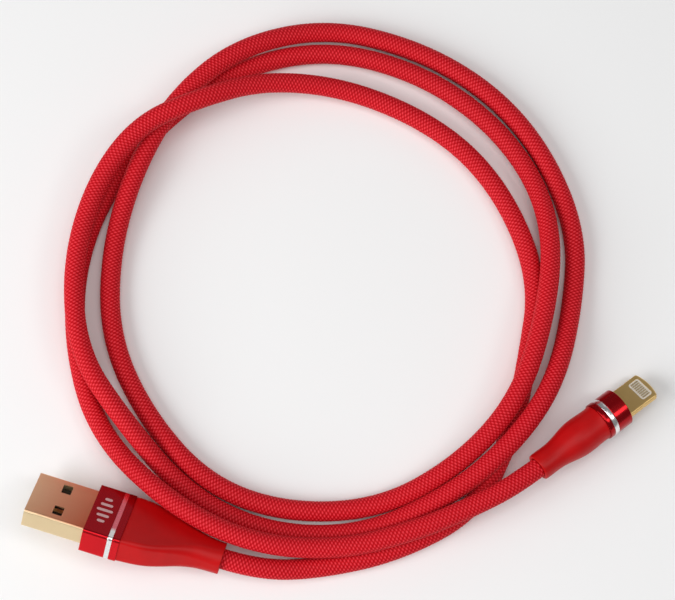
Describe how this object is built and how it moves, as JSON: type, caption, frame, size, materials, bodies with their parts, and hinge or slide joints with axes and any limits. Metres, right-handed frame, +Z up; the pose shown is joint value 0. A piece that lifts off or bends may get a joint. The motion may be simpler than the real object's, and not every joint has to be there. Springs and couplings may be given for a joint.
{
  "type": "charging cable",
  "caption": "Fabric-braided charging cable with a USB-A plug and a small reversible device plug, lying in three loose turns on a surface.",
  "frame": {"origin": "on the surface that the cable lies on, at the bottom centre of the box round its two plugs", "axes": "+Z up from the surface; +X from the USB plug towards the device plug; +Y towards the far side of the loops"},
  "size_m": [0.1302, 0.1218, 0.0137],
  "materials": {
    "plated_shell": "polished gold-coloured plating on folded steel",
    "plated_tab": "satin gold-coloured plating",
    "contact_gold": "polished gold plating",
    "red_anodised": "satin red anodising",
    "bright_band": "bright turned",
    "boot_rubber": "satin soft-touch moulding",
    "braid": "tightly braided polyester yarn",
    "tongue_plastic": "fine matte moulding",
    "insert_plastic": "smooth moulding",
    "mould_plastic": "natural, as moulded",
    "board_green": "solder mask over glass laminate",
    "chip_black": "matte moulding compound",
    "capacitor_tan": "fired ceramic",
    "can_steel": "plain tinned sheet",
    "crimp_steel": "plain",
    "wire_red": "smooth insulation",
    "wire_white": "smooth insulation",
    "wire_green": "smooth insulation",
    "wire_black": "smooth insulation"
  },
  "bodies": {
    "root": {"cord_stretch_1": "braid", "cord_stretch_2": "braid", "cord_stretch_3": "braid", "cord_stretch_4": "braid", "device_boot": "boot_rubber", "device_bright_band": "bright_band", "device_capacitors": "capacitor_tan", "device_circuit_board": "board_green", "device_collar": "red_anodised", "device_controller_chip": "chip_black", "device_cord_tail": "braid", "device_crimp_ring": "crimp_steel", "device_data_minus_wire": "wire_white", "device_data_plus_wire": "wire_green", "device_ground_wire": "wire_black", "device_inner_mould": "mould_plastic", "device_lower_contact_pads": "contact_gold", "device_lower_insert": "insert_plastic", "device_power_wire": "wire_red", "device_shield_can": "can_steel", "device_tab": "plated_tab", "device_upper_contact_pads": "contact_gold", "device_upper_insert": "insert_plastic", "usb_boot": "boot_rubber", "usb_bright_band": "bright_band", "usb_collar": "red_anodised", "usb_cord_tail": "braid", "usb_crimp_ring": "crimp_steel", "usb_data_minus_contact": "contact_gold", "usb_data_minus_wire": "wire_white", "usb_data_plus_contact": "contact_gold", "usb_data_plus_wire": "wire_green", "usb_ground_contact": "contact_gold", "usb_ground_wire": "wire_black", "usb_inner_mould": "mould_plastic", "usb_power_contact": "contact_gold", "usb_power_wire": "wire_red", "usb_shell": "plated_shell", "usb_tongue": "tongue_plastic"}
  },
  "joints": []
}
